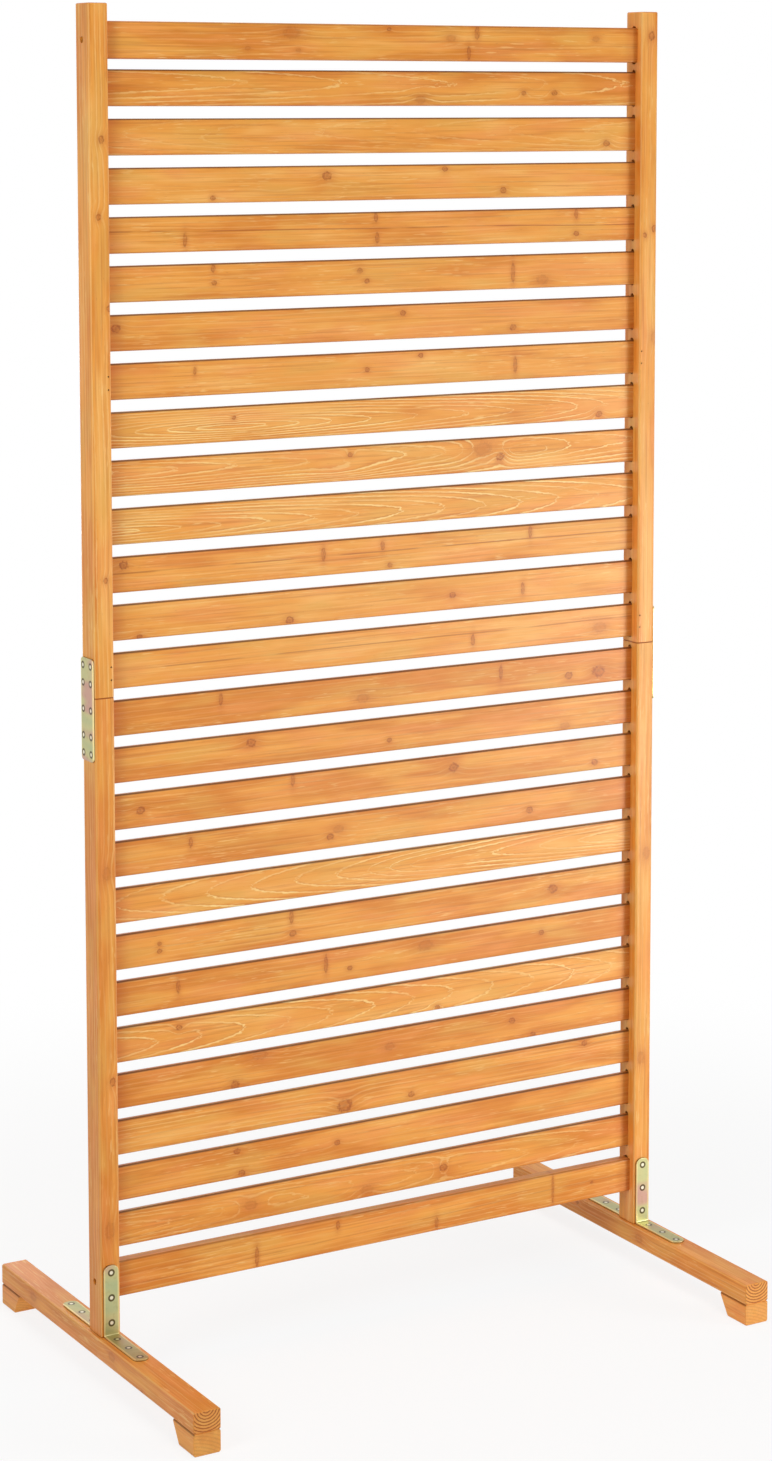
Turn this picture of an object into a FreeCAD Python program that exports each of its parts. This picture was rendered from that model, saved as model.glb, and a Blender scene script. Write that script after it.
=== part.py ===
import FreeCAD, Part
import math
import os
import Sketcher

# A free-standing slatted garden screen of planed softwood, in millimetres.
# X runs along the screen, Y from front (minus) to back, and Z up.
# The origin lies on the floor, in the middle between the four foot pads.
#
# Each side has an upper and a lower post, butted end to end under a mending plate. Slats and rails
# sit in routed mortises in the posts' inner faces. The lower posts stand on two foot bars, held by
# corner brackets, and each bar rests on two pads.

SIZES = {
    # side posts
    "screen_width": 876.0,
    "post_width": 28.0,
    "post_depth": 38.0,
    "post_edge_radius": 3.0,
    "post_top_radius": 2.0,
    "joint_chamfer": 0.7,
    # heights stacked from the foot bar up
    "bottom_rail_lift": 47.0,
    "bottom_rail_gap": 18.0,
    "lower_slat_count": 12,
    "lower_slat_gap": 15.2,
    "joint_gap": 15.6,
    "upper_slat_count": 13,
    "upper_slat_gap": 15.7,
    "top_rail_gap": 13.0,
    "post_top_rise": 22.3,
    # slats and their mortises
    "slat_height": 47.0,
    "slat_thickness": 8.0,
    "slat_edge_radius": 2.0,
    "slat_mortise_depth": 12.0,
    "slat_lift_room": 1.8,
    # rails with their tenons
    "rail_height": 48.0,
    "rail_thickness": 18.0,
    "rail_edge_radius": 2.5,
    "tenon_setback": 1.0,
    "tenon_thickness": 12.0,
    "tenon_length": 14.0,
    "rail_mortise_overrun": 2.6,
    # fits in the wood
    "mortise_fit": 0.25,
    "seat_clearance": 0.1,
    "mortise_end_gap": 1.0,
    # feet
    "foot_length": 594.0,
    "bar_width": 38.0,
    "bar_height": 28.0,
    "bar_edge_radius": 3.0,
    "pad_height": 29.5,
    "pad_top_length": 59.0,
    "pad_sole_length": 40.0,
    "end_easing": 0.8,
    # zinc-plated plates and brackets
    "metal_thickness": 2.5,
    "metal_edge_radius": 0.4,
    "plate_length": 135.0,
    "plate_width": 35.0,
    "plate_corner_radius": 5.0,
    "plate_drop": 16.2,
    "plate_outer_rows": 57.5,
    "plate_inner_rows": 34.7,
    "plate_column_spacing": 22.5,
    "bracket_leg": 97.0,
    "bracket_width": 21.5,
    "bracket_end_radius": 9.5,
    "bracket_end_flat": 2.0,
    "bracket_bend_radius": 1.0,
    "bracket_hole_margin": 10.0,
    "bracket_hole_spacing": 34.0,
    # countersunk screws of the plates and brackets
    "screw_shank": 3.6,
    "screw_head": 7.8,
    "screw_length": 14.0,
    "screw_tip": 3.0,
    "tip_end_radius": 0.3,
    "screw_fit": 0.15,
    "countersink_land": 0.4,
    "recess_length": 4.2,
    "recess_width": 0.9,
    "recess_depth": 1.2,
    # long screws with flat-seated heads, through the posts into the rails and up through the pads
    "long_shank": 4.0,
    "long_head": 8.0,
    "long_head_height": 2.6,
    "long_tip": 4.0,
    "counterbore": 8.8,
    "rail_counterbore_depth": 6.0,
    "rail_screw_length": 45.0,
    "pad_counterbore_depth": 12.0,
    "pad_screw_length": 36.0,
    "pad_screw_margin": 13.0,
    "pad_screw_spacing": 20.0,
    # brads that pin two slats of each section
    "brad_shank": 1.5,
    "brad_head": 2.2,
    "brad_head_height": 1.0,
    "brad_length": 25.0,
    "brad_tip": 2.0,
    "brad_set": 1.2,
    "brad_fit": 0.1,
    "brad_spacing": 17.0,
    "brad_inset": 4.0,
}

# Sizes that follow from those above, in the order in which they are needed.
LAYOUT = {
    "bar_top": "dims.pad_height + dims.bar_height",
    "upper_pitch": "dims.slat_height + dims.upper_slat_gap",
    "lower_pitch": "dims.slat_height + dims.lower_slat_gap",
    "lower_first_slat": "dims.bottom_rail_lift + dims.rail_height + dims.bottom_rail_gap",
    "upper_first_slat": "dims.joint_gap / 2",
    "lower_slat_stack": "dims.lower_slat_count * lower_pitch - dims.lower_slat_gap",
    "upper_slat_stack": "dims.upper_slat_count * upper_pitch - dims.upper_slat_gap",
    "lower_post_length": "lower_first_slat + lower_slat_stack + dims.joint_gap / 2",
    "upper_post_length": "upper_first_slat + upper_slat_stack + dims.top_rail_gap"
                         " + dims.rail_height + dims.post_top_rise",
    "joint_level": "bar_top + lower_post_length",
    "lower_rail_centre": "dims.bottom_rail_lift + dims.rail_height / 2",
    "upper_rail_centre": "upper_post_length - dims.post_top_rise - dims.rail_height / 2",
    "post_centre": "dims.screen_width / 2 - dims.post_width / 2",
    "inner_face": "dims.screen_width / 2 - dims.post_width",
    "slat_length": "2 * (inner_face + dims.slat_mortise_depth - dims.mortise_end_gap)",
    "slat_mortise_radius": "dims.slat_thickness / 2 + dims.mortise_fit",
    # A slat's rounded corner rests in the round end of its mortise, a seat clearance off the wood.
    "slat_corner_offset": "dims.slat_thickness / 2 - dims.slat_edge_radius",
    "slat_corner_reach": "slat_corner_offset + dims.mortise_fit - dims.seat_clearance",
    "slat_seat_drop": "slat_mortise_radius - dims.slat_edge_radius"
                      " - sqrt(slat_corner_reach ^ 2 - slat_corner_offset ^ 2)",
    "slat_mortise_low": "slat_mortise_radius - slat_seat_drop",
    "slat_mortise_high": "dims.slat_height + slat_seat_drop + dims.slat_lift_room"
                         " - slat_mortise_radius",
    "tenon_radius": "dims.tenon_thickness / 2",
    "tenon_half": "dims.rail_height / 2 - dims.tenon_setback - tenon_radius",
    # A rail's mortise runs a little past the rail above and below, where its dark ends show.
    "tenon_mortise_radius": "tenon_radius + dims.mortise_fit",
    "tenon_mortise_half": "dims.rail_height / 2 + dims.rail_mortise_overrun"
                          " - tenon_mortise_radius",
    "tenon_mortise_depth": "dims.tenon_length + dims.mortise_end_gap",
    "rail_length": "2 * inner_face",
    "rail_end": "inner_face + dims.tenon_length",
    "screw_head_height": "dims.metal_thickness - dims.countersink_land",
    "countersink_angle": "2 * atan((dims.screw_head - dims.screw_shank) / 2 / screw_head_height)",
    "countersink": "dims.screw_head + 2 * dims.screw_fit",
    "screw_hole": "dims.screw_shank + 2 * dims.screw_fit",
    "screw_hole_depth": "dims.screw_length - dims.metal_thickness + dims.screw_fit",
    "long_hole": "dims.long_shank + 2 * dims.screw_fit",
    "rail_screw_seat": "dims.screen_width / 2 - dims.rail_counterbore_depth",
    "rail_screw_hole_depth": "dims.rail_screw_length - (rail_screw_seat - rail_end)"
                             " + dims.screw_fit",
    "pad_screw_hole_depth": "dims.pad_screw_length - (dims.pad_height - dims.pad_counterbore_depth)"
                            " + dims.screw_fit",
    "brad_hole": "dims.brad_shank + 2 * dims.brad_fit",
    "brad_entry": "dims.brad_head + 2 * dims.brad_fit",
    "brad_entry_depth": "dims.brad_set + dims.brad_head_height",
    "brad_hole_depth": "dims.brad_set + dims.brad_length + dims.brad_fit",
    "brad_level": "dims.post_depth / 2 - dims.brad_set",
    "brad_offset": "post_centre - inner_face - dims.brad_inset",
    "brad_line": "inner_face + dims.brad_inset",
    "bracket_outer_bend": "dims.bracket_bend_radius + dims.metal_thickness",
    "bracket_end_round": "min(dims.bracket_end_radius;"
                         " (dims.bracket_width - dims.bracket_end_flat) / 2)",
    "bracket_far_hole": "dims.bracket_leg - dims.bracket_hole_margin",
    "bracket_mid_hole": "bracket_far_hole - dims.bracket_hole_spacing",
    "bracket_near_hole": "bracket_mid_hole - dims.bracket_hole_spacing",
    "plate_centre": "joint_level - dims.plate_drop",
    "plate_columns": "dims.plate_column_spacing / 2",
    "pad_near_screw": "dims.pad_screw_margin",
    "pad_far_screw": "dims.pad_screw_margin + dims.pad_screw_spacing",
}

# Screw places, as formulas: along a bracket's leg, along a pad, and on a mending plate.
BRACKET_HOLES = ["layout.bracket_near_hole", "layout.bracket_mid_hole", "layout.bracket_far_hole"]
PAD_SCREWS = ["layout.pad_near_screw", "layout.pad_far_screw"]
PLATE_COLUMNS = ["-layout.plate_columns", "layout.plate_columns"]
ROWS_ABOVE_JOINT = ["dims.plate_outer_rows", "dims.plate_inner_rows"]
ROWS_BELOW_JOINT = ["0", "-dims.plate_inner_rows", "-dims.plate_outer_rows"]
PLATE_HOLES = [(column, row) for row in ROWS_ABOVE_JOINT + ROWS_BELOW_JOINT
               for column in PLATE_COLUMNS]

SAME_PLACE = 1e-4
SAME_DIRECTION = 1 - 1e-6
UP = FreeCAD.Vector(0, 0, 1)
HALF_TURN = FreeCAD.Rotation(UP, 180)
NO_TURN = FreeCAD.Rotation()
Constraint = Sketcher.Constraint

doc = FreeCAD.newDocument("garden_screen")
pieces = []


# ---- sheets and expressions

def fill_sheet(name, cells):
    """A sheet with one named cell for each entry."""
    sheet = doc.addObject("Spreadsheet::Sheet", name)
    for row, (alias, content) in enumerate(cells.items(), start=1):
        cell = "B%d" % row
        sheet.set("A%d" % row, alias)
        sheet.set(cell, content)
        sheet.setAlias(cell, alias)
    return sheet


dims = fill_sheet("dims", {alias: str(value) for alias, value in SIZES.items()})
layout = fill_sheet("layout", {alias: "=" + formula for alias, formula in LAYOUT.items()})
doc.recompute()


def bind(item, prop, formula):
    """Ties one property to a formula of sheet cells."""
    item.setExpression(prop, formula)


def value_of(formula):
    """The present value of a formula of sheet cells, as a plain number."""
    value = dims.evalExpression(formula)
    return float(getattr(value, "Value", value))


def place(item, x, y, z, turn=NO_TURN):
    """Puts a sub-part at formulas of the sheets, turned about its own origin."""
    item.Placement = FreeCAD.Placement(FreeCAD.Vector(), turn)
    bind(item, "Placement.Base.x", x)
    bind(item, "Placement.Base.y", y)
    bind(item, "Placement.Base.z", z)


def keep(item, label):
    """Names a finished sub-part and lists it for export."""
    item.Label = label
    pieces.append(item)
    return item


# ---- sketches

def new_body(label):
    return keep(doc.addObject("PartDesign::Body", label), label)


def origin_feature(body, role):
    return [item for item in body.Origin.OriginFeatures if item.Role == role][0]


def new_sketch(body, role, offset=None):
    """A sketch on one of the body's own origin planes, moved along its normal by a formula."""
    sketch = body.newObject("Sketcher::SketchObject", "sketch")
    sketch.AttachmentSupport = [(origin_feature(body, role), "")]
    sketch.MapMode = "FlatFace"
    if offset:
        bind(sketch, ".AttachmentOffset.Base.z", offset)
    return sketch


def dimension(sketch, kind, references, formula):
    """A driving constraint whose value follows a formula of sheet cells."""
    index = sketch.addConstraint(Constraint(kind, *references, value_of(formula)))
    bind(sketch, "Constraints[%d]" % index, formula)


def coordinate(sketch, kind, geometry, point, formula):
    """Sets one coordinate of a point, as a distance from the sketch's origin."""
    value = value_of(formula)
    origin, target = (-1, 1), (geometry, point)
    if abs(value) < SAME_PLACE:
        axis = -2 if kind == "DistanceX" else -1
        sketch.addConstraint(Constraint("PointOnObject", geometry, point, axis))
    elif value > 0:
        dimension(sketch, kind, origin + target, formula)
    else:
        dimension(sketch, kind, target + origin, "-(%s)" % formula)


def draw_polygon(sketch, corners):
    """Straight edges through corners that are given as pairs of formulas."""
    points = [FreeCAD.Vector(value_of(x), value_of(y), 0) for x, y in corners]
    count = len(points)
    for index in range(count):
        sketch.addGeometry(Part.LineSegment(points[index], points[(index + 1) % count]))
    for index in range(count):
        sketch.addConstraint(Constraint("Coincident", index, 2, (index + 1) % count, 1))
    for index, (x, y) in enumerate(corners):
        coordinate(sketch, "DistanceX", index, 1, x)
        coordinate(sketch, "DistanceY", index, 1, y)


def draw_rectangle(sketch, width, height):
    """A rectangle about the sketch's origin."""
    half_width = value_of(width) / 2
    half_height = value_of(height) / 2
    corners = [
        FreeCAD.Vector(-half_width, -half_height, 0),
        FreeCAD.Vector(half_width, -half_height, 0),
        FreeCAD.Vector(half_width, half_height, 0),
        FreeCAD.Vector(-half_width, half_height, 0),
    ]
    for index in range(4):
        sketch.addGeometry(Part.LineSegment(corners[index], corners[(index + 1) % 4]))
    for index in range(4):
        sketch.addConstraint(Constraint("Coincident", index, 2, (index + 1) % 4, 1))
    for index in (0, 2):
        sketch.addConstraint(Constraint("Horizontal", index))
        sketch.addConstraint(Constraint("Vertical", index + 1))
    sketch.addConstraint(Constraint("Symmetric", 0, 1, 1, 2, -1, 1))
    dimension(sketch, "DistanceX", (0, 1, 0, 2), width)
    dimension(sketch, "DistanceY", (1, 1, 1, 2), height)


def draw_slot(sketch, low, high, radius):
    """An upright slot with round ends, centred on the sketch's vertical axis."""
    bottom = FreeCAD.Vector(0, value_of(low), 0)
    top = FreeCAD.Vector(0, value_of(high), 0)
    side = FreeCAD.Vector(value_of(radius), 0, 0)
    upper_arc, lower_arc, left_line, right_line = range(4)
    for centre, start in ((top, 0), (bottom, math.pi)):
        circle = Part.Circle(centre, UP, side.x)
        sketch.addGeometry(Part.ArcOfCircle(circle, start, start + math.pi))
    sketch.addGeometry(Part.LineSegment(top - side, bottom - side))
    sketch.addGeometry(Part.LineSegment(bottom + side, top + side))
    sketch.addConstraint(Constraint("Tangent", upper_arc, 2, left_line, 1))
    sketch.addConstraint(Constraint("Tangent", left_line, 2, lower_arc, 1))
    sketch.addConstraint(Constraint("Tangent", lower_arc, 2, right_line, 1))
    sketch.addConstraint(Constraint("Tangent", right_line, 2, upper_arc, 1))
    sketch.addConstraint(Constraint("Equal", upper_arc, lower_arc))
    dimension(sketch, "Radius", (upper_arc,), radius)
    for arc, level in ((upper_arc, high), (lower_arc, low)):
        sketch.addConstraint(Constraint("PointOnObject", arc, 3, -2))
        coordinate(sketch, "DistanceY", arc, 3, level)


def draw_circles(sketch, centres, diameter):
    """Circles of one diameter about centres that are given as pairs of formulas."""
    radius = value_of(diameter) / 2
    for index, (x, y) in enumerate(centres):
        centre = FreeCAD.Vector(value_of(x), value_of(y), 0)
        sketch.addGeometry(Part.Circle(centre, UP, radius))
        coordinate(sketch, "DistanceX", index, 3, x)
        coordinate(sketch, "DistanceY", index, 3, y)
        dimension(sketch, "Diameter", (index,), diameter)


# ---- features

def extrude(body, sketch, length, symmetric=False):
    feature = body.newObject("PartDesign::Pad", "pad")
    feature.Profile = sketch
    feature.SideType = "Symmetric" if symmetric else "One side"
    bind(feature, "Length", length)
    doc.recompute()
    return feature


def cut(body, sketch, depth=None, reverse=False):
    """A pocket against the sketch's normal, or along it if reversed; right through if no depth."""
    before = body.Shape.Volume
    feature = body.newObject("PartDesign::Pocket", "pocket")
    feature.Profile = sketch
    feature.Reversed = reverse
    if depth:
        bind(feature, "Length", depth)
    else:
        feature.Type = "ThroughAll"
    doc.recompute()
    if body.Shape.Volume >= before:
        raise RuntimeError("a pocket cuts nothing in " + body.Label)
    return feature


def sink_holes(body, sketch):
    """Countersunk screw holes through a plate, against the sketch's normal."""
    doc.recompute()
    feature = body.newObject("PartDesign::Hole", "hole")
    feature.Profile = sketch
    feature.DepthType = "ThroughAll"
    feature.HoleCutType = "Countersink"
    feature.HoleCutCustomValues = True
    bind(feature, "Diameter", "layout.screw_hole")
    bind(feature, "HoleCutDiameter", "layout.countersink")
    bind(feature, "HoleCutCountersinkAngle", "layout.countersink_angle")
    doc.recompute()
    return feature


def repeat_up(body, feature, spacing, count):
    """Copies a feature upwards at a fixed spacing."""
    pattern = body.newObject("PartDesign::LinearPattern", "pattern")
    pattern.Originals = [feature]
    pattern.Direction = (origin_feature(body, "Z_Axis"), [""])
    pattern.Mode = "Spacing"
    bind(pattern, "Offset", spacing)
    bind(pattern, "Occurrences", count)
    body.Tip = pattern
    doc.recompute()


def mirror_front_to_back(body, features):
    """Repeats features behind the body's own XZ plane."""
    mirrored = body.newObject("PartDesign::Mirrored", "mirror")
    mirrored.Originals = features
    mirrored.MirrorPlane = (origin_feature(body, "XZ_Plane"), [""])
    body.Tip = mirrored
    doc.recompute()


def edges_where(feature, test):
    """Names of a feature's edges that pass a test."""
    names = []
    for index, edge in enumerate(feature.Shape.Edges, start=1):
        if test(edge):
            names.append("Edge%d" % index)
    return names


def runs_along(edge, axis):
    """Whether an edge is straight and parallel to an axis, which is 0, 1 or 2."""
    if not isinstance(edge.Curve, Part.Line):
        return False
    return abs(edge.Curve.Direction[axis]) > SAME_DIRECTION


def lies_at(edge, axis, level):
    """Whether a whole edge lies in the plane where one coordinate has a given value."""
    low = (edge.BoundBox.XMin, edge.BoundBox.YMin, edge.BoundBox.ZMin)[axis]
    high = (edge.BoundBox.XMax, edge.BoundBox.YMax, edge.BoundBox.ZMax)[axis]
    return abs(low - level) < SAME_PLACE and abs(high - level) < SAME_PLACE


def round_edges(body, feature, radius, test):
    fillet = body.newObject("PartDesign::Fillet", "fillet")
    fillet.Base = (feature, edges_where(feature, test))
    bind(fillet, "Radius", radius)
    doc.recompute()
    return fillet


def bevel_edges(body, feature, size, test):
    chamfer = body.newObject("PartDesign::Chamfer", "chamfer")
    chamfer.Base = (feature, edges_where(feature, test))
    bind(chamfer, "Size", size)
    doc.recompute()
    return chamfer


# ---- posts
# A post's own origin is the middle of its lower end. Its inner face, with the mortises, looks
# along plus X, so the right posts are turned by half a turn.

def post_blank(body, length):
    """The planed stick with its long edges rounded."""
    sketch = new_sketch(body, "XY_Plane")
    draw_rectangle(sketch, "dims.post_width", "dims.post_depth")
    stick = extrude(body, sketch, length)
    return round_edges(body, stick, "dims.post_edge_radius", lambda edge: runs_along(edge, 2))


def cut_slat_mortises(body, first_slat, pitch, count):
    sketch = new_sketch(body, "YZ_Plane", "dims.post_width / 2")
    low = "%s + layout.slat_mortise_low" % first_slat
    high = "%s + layout.slat_mortise_high" % first_slat
    draw_slot(sketch, low, high, "layout.slat_mortise_radius")
    mortise = cut(body, sketch, "dims.slat_mortise_depth")
    repeat_up(body, mortise, pitch, count)


def cut_rail_mortise(body, rail_centre):
    """The rail's mortise, and from the outer face the counterbored hole for its screw."""
    sketch = new_sketch(body, "YZ_Plane", "dims.post_width / 2")
    low = "%s - layout.tenon_mortise_half" % rail_centre
    high = "%s + layout.tenon_mortise_half" % rail_centre
    draw_slot(sketch, low, high, "layout.tenon_mortise_radius")
    cut(body, sketch, "layout.tenon_mortise_depth")
    for diameter, depth in (
        ("layout.long_hole", "dims.post_width - layout.tenon_mortise_depth"),
        ("dims.counterbore", "dims.rail_counterbore_depth"),
    ):
        sketch = new_sketch(body, "YZ_Plane", "-dims.post_width / 2")
        draw_circles(sketch, [("0", rail_centre)], diameter)
        cut(body, sketch, depth, reverse=True)


def drill_plate_holes(body, rows, plate_centre):
    """Pilot holes for some rows of the mending plate's screws, in the outer face."""
    centres = []
    for row in rows:
        for column in PLATE_COLUMNS:
            centres.append((column, "%s + (%s)" % (plate_centre, row)))
    sketch = new_sketch(body, "YZ_Plane", "-dims.post_width / 2")
    draw_circles(sketch, centres, "layout.screw_hole")
    cut(body, sketch, "layout.screw_hole_depth", reverse=True)


def drill_brad_holes(body, slat_bottoms, from_front):
    """Holes for brads near the inner face, each wider where the head is driven in."""
    centres = []
    for bottom in slat_bottoms:
        for sign in ("-", "+"):
            level = "%s + dims.slat_height / 2 %s dims.brad_spacing / 2" % (bottom, sign)
            centres.append(("layout.brad_offset", level))
    face = "dims.post_depth / 2" if from_front else "-dims.post_depth / 2"
    for diameter, depth in (
        ("layout.brad_hole", "layout.brad_hole_depth"),
        ("layout.brad_entry", "layout.brad_entry_depth"),
    ):
        sketch = new_sketch(body, "XZ_Plane", face)
        draw_circles(sketch, centres, diameter)
        cut(body, sketch, depth, reverse=not from_front)


def slat_bottom(section, number):
    """Height of a slat above its post's lower end. Slats are numbered from the top."""
    steps = "(dims.%s_slat_count - %s)" % (section, number)
    return "layout.%s_first_slat + %s * layout.%s_pitch" % (section, steps, section)


def pinned_slats(section):
    """The numbers of the slats that brads hold: one in the middle and the one at the joint."""
    count = SIZES[section + "_slat_count"]
    joint_slat = count if section == "upper" else 1
    return (count + 1) // 2, joint_slat


def upper_post(label, side, turn):
    body = new_body(label)
    blank = post_blank(body, "layout.upper_post_length")
    top = value_of("layout.upper_post_length")
    rounded = round_edges(body, blank, "dims.post_top_radius", lambda edge: lies_at(edge, 2, top))
    bevel_edges(body, rounded, "dims.joint_chamfer", lambda edge: lies_at(edge, 2, 0))
    cut_slat_mortises(body, "layout.upper_first_slat", "layout.upper_pitch",
                      "dims.upper_slat_count")
    cut_rail_mortise(body, "layout.upper_rail_centre")
    drill_plate_holes(body, ROWS_ABOVE_JOINT, "-dims.plate_drop")
    bottoms = [slat_bottom("upper", number) for number in pinned_slats("upper")]
    drill_brad_holes(body, bottoms, from_front=(side == "-"))
    place(body, side + "layout.post_centre", "0", "layout.joint_level", turn)


def lower_post(label, side, turn):
    body = new_body(label)
    blank = post_blank(body, "layout.lower_post_length")
    top = value_of("layout.lower_post_length")
    bevel_edges(body, blank, "dims.joint_chamfer",
                lambda edge: lies_at(edge, 2, 0) or lies_at(edge, 2, top))
    cut_slat_mortises(body, "layout.lower_first_slat", "layout.lower_pitch",
                      "dims.lower_slat_count")
    cut_rail_mortise(body, "layout.lower_rail_centre")
    drill_plate_holes(body, ROWS_BELOW_JOINT,
                      "layout.lower_post_length - dims.plate_drop")
    bottoms = [slat_bottom("lower", number) for number in pinned_slats("lower")]
    drill_brad_holes(body, bottoms, from_front=(side == "+"))
    sketch = new_sketch(body, "XZ_Plane", "dims.post_depth / 2")
    draw_circles(sketch, [("0", level) for level in BRACKET_HOLES], "layout.screw_hole")
    holes = cut(body, sketch, "layout.screw_hole_depth")
    mirror_front_to_back(body, [holes])
    place(body, side + "layout.post_centre", "0", "layout.bar_top", turn)


# ---- rails and slats
# Their own origin is the middle of the piece.

def rail(label, level):
    body = new_body(label)
    sketch = new_sketch(body, "YZ_Plane")
    draw_rectangle(sketch, "dims.rail_thickness", "dims.rail_height")
    plank = extrude(body, sketch, "layout.rail_length", symmetric=True)
    round_edges(body, plank, "dims.rail_edge_radius", lambda edge: runs_along(edge, 0))
    sketch = new_sketch(body, "YZ_Plane")
    draw_slot(sketch, "-layout.tenon_half", "layout.tenon_half", "layout.tenon_radius")
    extrude(body, sketch, "2 * layout.rail_end", symmetric=True)
    for end, reverse in (("layout.rail_end", False), ("-layout.rail_end", True)):
        sketch = new_sketch(body, "YZ_Plane", end)
        draw_circles(sketch, [("0", "0")], "layout.long_hole")
        cut(body, sketch, "layout.rail_screw_hole_depth", reverse)
    place(body, "0", "0", level)


def slat(label, level, pinned):
    body = new_body(label)
    sketch = new_sketch(body, "YZ_Plane")
    draw_rectangle(sketch, "dims.slat_thickness", "dims.slat_height")
    plank = extrude(body, sketch, "layout.slat_length", symmetric=True)
    round_edges(body, plank, "dims.slat_edge_radius", lambda edge: runs_along(edge, 0))
    if pinned:
        sketch = new_sketch(body, "XZ_Plane", "dims.slat_thickness")
        centres = []
        for side in ("-", "+"):
            for rise in ("-", "+"):
                centres.append((side + "layout.brad_line", rise + "dims.brad_spacing / 2"))
        draw_circles(sketch, centres, "layout.brad_hole")
        cut(body, sketch)
    place(body, "0", "0", level)


def slats(section, base):
    """All slats of one section, numbered from the top."""
    for number in range(1, SIZES[section + "_slat_count"] + 1):
        label = "%s_slat_%02d" % (section, number)
        centre = "%s + %s + dims.slat_height / 2" % (base, slat_bottom(section, number))
        slat(label, centre, number in pinned_slats(section))


# ---- feet

def foot_bar(label, side):
    """The bar's own origin is the middle of its underside."""
    body = new_body(label)
    sketch = new_sketch(body, "XZ_Plane")
    draw_polygon(sketch, [
        ("-dims.bar_width / 2", "0"),
        ("dims.bar_width / 2", "0"),
        ("dims.bar_width / 2", "dims.bar_height"),
        ("-dims.bar_width / 2", "dims.bar_height"),
    ])
    stick = extrude(body, sketch, "dims.foot_length", symmetric=True)
    rounded = round_edges(body, stick, "dims.bar_edge_radius", lambda edge: runs_along(edge, 1))
    half = value_of("dims.foot_length / 2")
    bevel_edges(body, rounded, "dims.end_easing",
                lambda edge: lies_at(edge, 1, half) or lies_at(edge, 1, -half))
    sketch = new_sketch(body, "XY_Plane", "dims.bar_height")
    centres = [("0", "-(dims.post_depth / 2 + %s)" % distance) for distance in BRACKET_HOLES]
    draw_circles(sketch, centres, "layout.screw_hole")
    bracket_holes = cut(body, sketch, "layout.screw_hole_depth")
    mirror_front_to_back(body, [bracket_holes])
    sketch = new_sketch(body, "XY_Plane")
    centres = [("0", "%s - dims.foot_length / 2" % distance) for distance in PAD_SCREWS]
    draw_circles(sketch, centres, "layout.long_hole")
    pad_holes = cut(body, sketch, "layout.pad_screw_hole_depth", reverse=True)
    mirror_front_to_back(body, [pad_holes])
    place(body, side + "layout.post_centre", "0", "dims.pad_height")


def foot_pad(label, side, end, turn):
    """The pad's own origin is the foot of its upright outer end."""
    body = new_body(label)
    sketch = new_sketch(body, "YZ_Plane")
    draw_polygon(sketch, [
        ("0", "0"),
        ("dims.pad_sole_length", "0"),
        ("dims.pad_top_length", "dims.pad_height"),
        ("0", "dims.pad_height"),
    ])
    block = extrude(body, sketch, "dims.bar_width", symmetric=True)
    rounded = round_edges(body, block, "dims.bar_edge_radius", lambda edge: runs_along(edge, 1))
    bevel_edges(body, rounded, "dims.end_easing", lambda edge: lies_at(edge, 1, 0))
    centres = [("0", distance) for distance in PAD_SCREWS]
    for diameter, depth in (
        ("layout.long_hole", None),
        ("dims.counterbore", "dims.pad_counterbore_depth"),
    ):
        sketch = new_sketch(body, "XY_Plane")
        draw_circles(sketch, centres, diameter)
        cut(body, sketch, depth, reverse=True)
    place(body, side + "layout.post_centre", end + "dims.foot_length / 2", "0", turn)


# ---- plates and brackets

def mending_plate(label, side, turn):
    """The plate's own origin is the middle of its seat; its outer face looks along plus X."""
    body = new_body(label)
    sketch = new_sketch(body, "YZ_Plane")
    draw_rectangle(sketch, "dims.plate_width", "dims.plate_length")
    blank = extrude(body, sketch, "dims.metal_thickness")
    cornered = round_edges(body, blank, "dims.plate_corner_radius",
                           lambda edge: runs_along(edge, 0))
    face = value_of("dims.metal_thickness")
    round_edges(body, cornered, "dims.metal_edge_radius", lambda edge: lies_at(edge, 0, face))
    sketch = new_sketch(body, "YZ_Plane", "dims.metal_thickness")
    draw_circles(sketch, PLATE_HOLES, "layout.screw_hole")
    sink_holes(body, sketch)
    place(body, side + "dims.screen_width / 2", "0", "layout.plate_centre", turn)


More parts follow.
